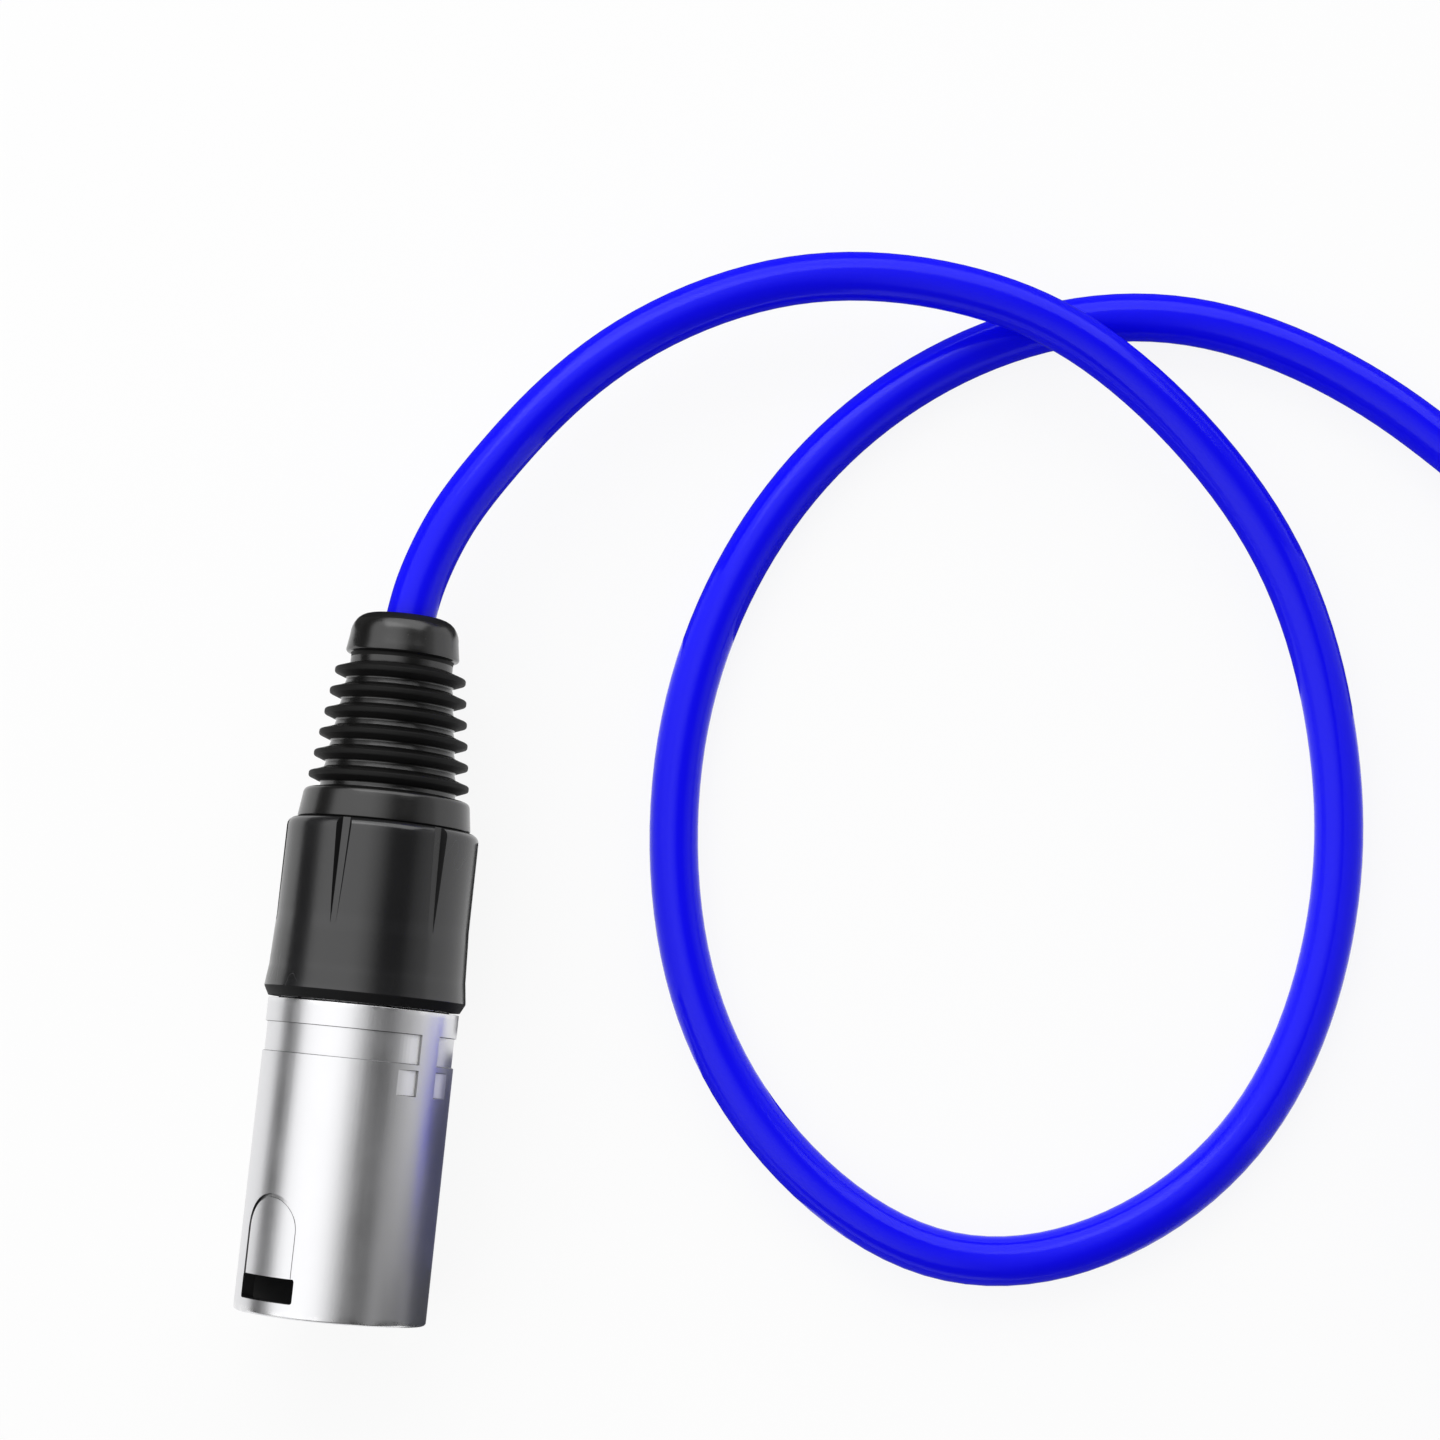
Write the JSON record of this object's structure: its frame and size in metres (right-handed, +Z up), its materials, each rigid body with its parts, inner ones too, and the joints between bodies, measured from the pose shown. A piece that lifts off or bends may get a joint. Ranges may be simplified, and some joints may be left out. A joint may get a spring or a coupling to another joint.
{
  "type": "xlr microphone cable",
  "caption": "Blue microphone cable with a male and a female three-pin plug, one open loop, and the rest of the cable in a flat coil.",
  "frame": {"origin": "on the floor below the middle of the male plug", "axes": "+Z up, +Y along the male plug from its mouth to its boot, +X towards the cable's loop and coil"},
  "size_m": [0.23, 0.1357, 0.0249],
  "materials": {
    "satin_metal": "satin nickel plate",
    "insert_plastic": "matte",
    "contact_metal": "silver plate",
    "spring_metal": "plain sprung metal",
    "chuck_plastic": "matte",
    "collar_plastic": "satin",
    "boot_rubber": "matte",
    "latch_black": "satin black",
    "copper": "bare wire",
    "core_red": "matte",
    "core_white": "matte",
    "blue_jacket": "glossy soft PVC",
    "tie_fabric": "hook-and-loop weave"
  },
  "bodies": {
    "cable": {"male_insert": "insert_plastic", "male_pin_1": "contact_metal", "male_pin_2": "contact_metal", "male_pin_3": "contact_metal", "male_ground_spring": "spring_metal", "male_chuck": "chuck_plastic", "male_drain_wire": "copper", "male_core_hot": "core_red", "male_core_cold": "core_white", "male_jacket_end": "blue_jacket", "cable_run": "blue_jacket", "cable_coil": "blue_jacket", "cable_tail": "blue_jacket", "coil_tie": "tie_fabric", "female_jacket_end": "blue_jacket", "female_insert": "insert_plastic", "female_contact_1": "contact_metal", "female_contact_2": "contact_metal", "female_contact_3": "contact_metal", "female_ground_spring": "spring_metal", "female_chuck": "chuck_plastic", "female_drain_wire": "copper", "female_core_hot": "core_red", "female_core_cold": "core_white"},
    "male_collar_body": {"male_collar": "collar_plastic", "male_boot": "boot_rubber"},
    "male_shell_body": {"male_shell": "satin_metal"},
    "female_collar_body": {"female_collar": "collar_plastic", "female_boot": "boot_rubber"},
    "female_shell_body": {"female_shell": "satin_metal", "female_latch_spring": "spring_metal"},
    "female_latch_body": {"female_latch": "latch_black"}
  },
  "joints": [
    {"name": "male_collar_turn", "type": "hinge", "parent": "cable", "child": "male_collar_body", "pos_m": [0, 0, 0.01005], "axis": [0, 1, 0], "range_deg": [0, 1980]},
    {"name": "male_shell_slide", "type": "slide", "parent": "cable", "child": "male_shell_body", "axis": [0, -1, 0], "range_m": [0, 0.0055]},
    {"name": "female_collar_turn", "type": "hinge", "parent": "cable", "child": "female_collar_body", "pos_m": [0.21, 0, 0.01005], "axis": [0, 1, 0], "range_deg": [0, 1980]},
    {"name": "female_shell_slide", "type": "slide", "parent": "cable", "child": "female_shell_body", "axis": [0, -1, 0], "range_m": [0, 0.0055]},
    {"name": "female_latch_press", "type": "slide", "parent": "female_shell_body", "child": "female_latch_body", "axis": [0, 0, -1], "range_m": [0, 0.0012], "stiffness_N_per_m": 1500, "springref_m": -0.0012, "deforming": ["female_latch_spring"]}
  ],
  "couplings": [
    {"joint": "male_collar_turn", "follows": "male_shell_slide", "rad_per_m": 6283.2},
    {"joint": "female_collar_turn", "follows": "female_shell_slide", "rad_per_m": 6283.2}
  ]
}
